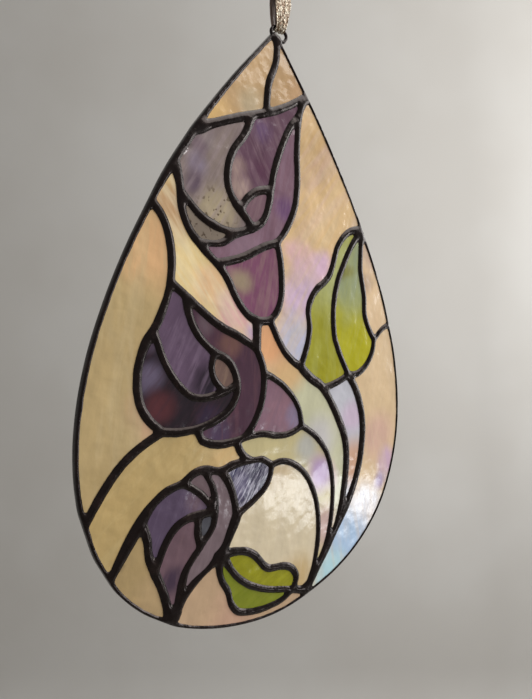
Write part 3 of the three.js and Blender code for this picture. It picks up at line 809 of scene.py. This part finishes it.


# Colours of glass, as ordinary screen values: the arguments of glass() for every pane. On the pale
# panes the pink, lilac and blue washes and veins are painted iridescent sheen, light reflected from
# the glass's coating. LILAC is painted iridescent sheen; CREAM is the glass's own streaks.
LILAC = (224, 196, 216)
CREAM = (238, 212, 172)
PANES = {
    "sky_top_left": dict(base=(214, 178, 132), washes=[
        ((234, 194, 130), (-38, 44), 16), ((212, 190, 154), (-16, 34), 12)]),
    "sky_top_right": dict(base=(202, 166, 122), washes=[((212, 172, 130), (16, 22), 14)]),
    # Painted iridescent sheen down the right: the pink, lilac and blue washes and the lilac veins.
    "sky_right_upper": dict(base=(240, 204, 152), washes=[
        ((216, 178, 126), (26, 52), 24), ((242, 196, 196), (16, 108), 14),
        ((238, 200, 222), (34, 112), 15), ((226, 196, 222), (18, 128), 22),
        ((206, 214, 244), (16, 156), 26)],
        veins=[(LILAC, 0.75, 9, 0.25), (CREAM, 0.6, 5, 0.4)], lean=0.6),
    "sky_left_middle": dict(base=(254, 226, 164), washes=[
        ((202, 160, 116), (-60, 88), 20), ((252, 210, 162), (-38, 124), 18),
        ((240, 190, 186), (-24, 138), 16), ((222, 192, 214), (-14, 148), 11)],
        veins=[((255, 240, 204), -0.6, 5, 0.5)], lean=-0.6),
    "sky_left": dict(base=(202, 176, 126), washes=[
        ((218, 178, 144), (-66, 180), 22), ((242, 194, 142), (-69, 110), 24)],
        veins=[((212, 190, 146), 0.1, 6, 0.5)]),
    "sky_left_band": dict(base=(202, 174, 118), washes=[((226, 192, 136), (-30, 204), 24)],
        veins=[((216, 194, 142), 0.9, 5, 0.4)]),
    "sky_left_foot": dict(base=(184, 158, 112), washes=[((192, 164, 122), (-70, 266), 20)]),
    "sky_foot": dict(base=(208, 176, 142), washes=[((212, 172, 146), (-30, 288), 22)]),
    # Its bright warm base is partly painted glow of light shining through the glass.
    "sky_centre": dict(base=(232, 216, 184), washes=[
        ((214, 190, 150), (0, 214), 18), ((212, 184, 134), (15, 282), 20)],
        veins=[((232, 216, 188), 0.1, 6, 0.4)], drift=BUD_DRIFT, relief=0.7),
    "stem_band_long": dict(base=(216, 214, 180), washes=[
        ((232, 194, 142), (8, 168), 18), ((248, 186, 136), (-4, 150), 22),
        ((216, 212, 210), (32, 206), 20), ((232, 190, 208), (36, 230), 15),
        ((216, 184, 168), (36, 256), 16)],
        drift=BUD_DRIFT, relief=0.7),
    "stem_band_middle": dict(base=(212, 198, 148), washes=[
        ((196, 194, 184), (22, 210), 14), ((196, 166, 208), (33, 226), 16),
        ((222, 192, 184), (38, 258), 18)], drift=BUD_DRIFT, relief=0.7),
    "stem_band_right": dict(base=(212, 212, 222), washes=[
        ((220, 200, 222), (60, 198), 14), ((222, 178, 150), (62, 226), 20)], drift=BUD_DRIFT),
    # Painted reflection of the window light: the white wash. Below it the blue and aqua washes are
    # partly the glass's pale blue and partly painted reflection of the sky; the lilac washes are
    # painted iridescent sheen.
    "sky_right": dict(base=(236, 206, 164), washes=[
        ((230, 190, 170), (84, 212), 22), ((222, 188, 210), (94, 230), 14),
        ((204, 222, 248), (58, 270), 34), ((192, 220, 252), (56, 272), 20),
        ((244, 244, 252), (74, 252), 19), ((196, 176, 208), (87, 240), 9),
        ((202, 240, 250), (40, 286), 20)],
        veins=[((242, 214, 178), -0.2, 6, 0.3)], drift=BUD_DRIFT, relief=0.7),
    "sky_right_small": dict(base=(246, 214, 172), washes=[
        ((222, 192, 166), (74, 100), 14), ((208, 178, 148), (71, 117), 9)],
        drift=BUD_DRIFT, relief=0.6),
    "upper_bud_left": dict(base=(146, 130, 124), washes=[
        ((158, 144, 142), (-42, 56), 9), ((132, 112, 122), (-46, 61), 7),
        ((146, 132, 148), (-48, 69), 9), ((108, 90, 104), (-50, 77), 8),
        ((184, 168, 138), (-36, 89), 17)],
        veins=[((172, 154, 158), 0.55, 3, 0.4), ((116, 98, 108), 0.55, 5, 0.35)],
        specks=((84, 66, 44), (-36, 88), 16), lean=0.55, drift=BUD_DRIFT),
    "upper_bud_middle": dict(base=(110, 78, 96), washes=[
        ((112, 84, 118), (-9, 47), 9), ((100, 60, 84), (-9, 65), 10),
        ((172, 146, 138), (-25, 66), 8), ((190, 164, 154), (-23, 76), 10)],
        veins=[((150, 122, 132), -0.5, 3, 0.5), ((90, 56, 78), 0.3, 5, 0.4)],
        lean=-0.4, drift=BUD_DRIFT),
    "upper_bud_heart": dict(base=(130, 98, 110), veins=[((152, 124, 130), 0.4, 3, 0.5)]),
    "upper_bud_right": dict(base=(134, 100, 116), washes=[
        ((116, 80, 120), (6, 82), 10), ((150, 120, 136), (-20, 102), 14)],
        veins=[((154, 126, 144), 0.2, 3, 0.4)], drift=BUD_DRIFT),
    "upper_bud_fold": dict(base=(140, 126, 112), specks=((72, 54, 38), (-42, 98), 16)),
    "upper_bud_sepal": dict(base=(136, 82, 112), washes=[((168, 148, 124), (-22, 120), 9)],
        veins=[((166, 142, 130), 0.2, 3, 0.35)], drift=BUD_DRIFT),
    "middle_bud_left": dict(base=(28, 12, 26), washes=[
        ((88, 76, 98), (-72, 149), 8), ((40, 26, 42), (-70, 157), 5),
        ((106, 94, 118), (-72, 165), 10), ((88, 40, 46), (-67, 178), 11),
        ((46, 30, 58), (-42, 186), 10)],
        veins=[((64, 34, 46), 0.7, 3, 0.4)], lean=0.7, drift=BUD_DRIFT),
    "middle_bud_centre": dict(base=(104, 82, 106), washes=[
        ((28, 14, 30), (-43, 168), 14), ((34, 20, 44), (-38, 178), 12)],
        veins=[((134, 112, 136), 0.5, 3, 0.5), ((80, 58, 82), 0.5, 4, 0.3)],
        lean=0.5, drift=BUD_DRIFT),
    "middle_bud_heart": dict(base=(118, 92, 84), veins=[((158, 130, 110), 0.4, 2, 0.5)]),
    "middle_bud_right": dict(base=(78, 48, 66), washes=[
        ((106, 86, 96), (-43, 141), 8), ((118, 82, 76), (-29, 151), 10),
        ((80, 60, 88), (-37, 194), 12)],
        veins=[((108, 70, 80), 0.05, 2.5, 0.4)], lean=0.05, drift=BUD_DRIFT),
    "middle_bud_sepal": dict(base=(144, 110, 126), washes=[((146, 130, 158), (13, 192), 9)],
        veins=[((160, 118, 130), 0.5, 4, 0.5)], lean=0.5, drift=BUD_DRIFT),
    "lower_bud_left": dict(base=(92, 76, 100), washes=[((114, 92, 106), (-49, 224), 9)],
        veins=[((118, 102, 128), 0.4, 3, 0.35)], drift=BUD_DRIFT),
    "lower_bud_centre": dict(base=(118, 92, 102), washes=[((72, 54, 74), (-62, 258), 9)],
        veins=[((134, 104, 112), 0.3, 3, 0.4)], drift=BUD_DRIFT),
    "lower_bud_right": dict(base=(126, 108, 114), veins=[((140, 122, 128), 0.3, 3, 0.4)]),
    "lower_bud_top": dict(base=(116, 96, 102), veins=[((130, 110, 114), 0.8, 3, 0.4)]),
    "lower_bud_heart": dict(base=(82, 82, 90), veins=[((104, 106, 114), 0.3, 3, 0.4)]),
    # The near-white veins are painted glints of the window light on the rippled glass.
    "lower_bud_sepal": dict(base=(40, 32, 68), washes=[
        ((22, 20, 78), (-30, 212), 9), ((112, 106, 136), (-23, 222), 9)],
        veins=[((226, 222, 240), 0.6, 1.1, 0.7)], lean=0.6, drift=BUD_DRIFT, relief=0.8),
    "large_leaf_left": dict(base=(172, 168, 44), washes=[
        ((190, 194, 130), (44, 112), 36), ((172, 166, 16), (38, 172), 16)],
        veins=[((182, 184, 96), 0.0, 4, 0.35)], lean=0),
    "large_leaf_right": dict(base=(190, 184, 8), washes=[
        ((160, 170, 132), (59, 108), 40), ((136, 134, 74), (54, 112), 7)],
        veins=[((186, 188, 96), 0.3, 4, 0.25)], lean=0.1, relief=0.8),
    "small_leaf_upper": dict(base=(152, 150, 24), veins=[((178, 176, 38), 1.2, 4, 0.5)]),
    "small_leaf_lower": dict(base=(128, 138, 28), veins=[((148, 154, 46), 1.2, 4, 0.5)]),
}

solder = solder_mesh(patina)
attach(solder, "root")
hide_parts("solder")
for name in pane_names:
    pane = pane_mesh(name, glass("glass_" + name, **PANES[name]))
    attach(pane, "root")
    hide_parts(name)

# ---- hanging loop -----------------------------------------------------------------------------
WIRE = 1.7
LOOP_POINTS = [  # [across, down], as in the part's source
    [0.7, -8.1], [5.9, -8.1], [8.4, -5.5], [6.7, -2.4], [3.3, -1.9], [-0.1, -2.4], [-1.8, -5.5],
]
loop_route = smooth_curve(LOOP_POINTS, 0.25, corner=math.pi)
loop_centres = np.array([place(*p) for p in loop_route])
wobble = np.array([1 + 0.05 * noise.noise(Vector((x, z, 0))) for x, z in loop_route])
loop_parts = tube(loop_centres, WIRE / 2 * MM * wobble, sides=20)
wire_loop = add_mesh("hanging_loop", *loop_parts, patina)
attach(wire_loop, "root")
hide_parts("wire_loop")

# ---- stage and light --------------------------------------------------------------------------
FLOOR = -1.9
WALL = 1.5  # behind the part
WALL_TOP = 3.0
BACKDROP_FRONT = -3.0
BACKDROP_SIDES = (-5.0, 5.0)
SWEEP_RADIUS = 0.5
ahead = Vector((CAMERA_LOOK.x, CAMERA_LOOK.y, 0)).normalized()
aside = Vector((ahead.y, -ahead.x, 0))


def backdrop_mesh():
    """A pale floor that sweeps up into a wall behind the panel."""
    sweep = [
        (WALL - SWEEP_RADIUS + SWEEP_RADIUS * math.sin(t), FLOOR + SWEEP_RADIUS * (1 - math.cos(t)))
        for t in np.linspace(0, math.pi / 2, 17)
    ]
    profile = [(BACKDROP_FRONT, FLOOR)] + sweep + [(WALL, WALL_TOP)]
    vertices = [
        ahead * y + aside * x + Vector((0, 0, z)) for x in BACKDROP_SIDES for y, z in profile
    ]
    n = len(profile)
    faces = [(i, i + 1, n + i + 1, n + i) for i in range(n - 1)]
    finish = Finish("plaster", Roughness=0.9)
    tone = finish.ranged(finish.noise(0.5, 3), 0.3, 0.7)
    finish.feed("Base Color", finish.mixed(tone, colour(184, 181, 176), colour(191, 189, 185)))
    return add_mesh("backdrop", vertices, faces, finish.material)


backdrop_mesh()


def area_light(name, at, target, width, height, power, tint=(1, 1, 1)):
    """A softbox: a disc if it is as high as it is wide, otherwise a rectangle."""
    light = link(name, bpy.data.lights.new(name, "AREA"))
    light.data.shape = "DISK" if width == height else "RECTANGLE"
    light.data.size = width
    if width != height:
        light.data.size_y = height
    light.data.energy = power
    light.data.color = tint
    aim(light, Vector(at), Vector(target) - Vector(at))


PANEL_MIDDLE = (0, 0, -0.2)
area_light("key", (1.3, -0.99, 1.83), PANEL_MIDDLE, 2.4, 2.4, 52, (1, 0.98, 0.95))
area_light("side", (1.5, 0, -0.1), PANEL_MIDDLE, 0.5, 1.8, 10)
area_light("window", (0.69, -0.65, -0.594), (0.05, 0, -0.3), 0.28, 0.08, 0.56, (0.94, 0.97, 1))
area_light("wall_light", (1.84, -0.76, 0.1), (1.8, 0.45, 0), 1.2, 1.2, 26)
ROOM_LIGHT = (0.36, 0.353, 0.345, 1)  # from all sides
world = bpy.data.worlds.new("world")
world.use_nodes = True
world.node_tree.nodes["Background"].inputs["Color"].default_value = ROOM_LIGHT
bpy.context.scene.world = world
bpy.context.scene.view_settings.view_transform = "Standard"
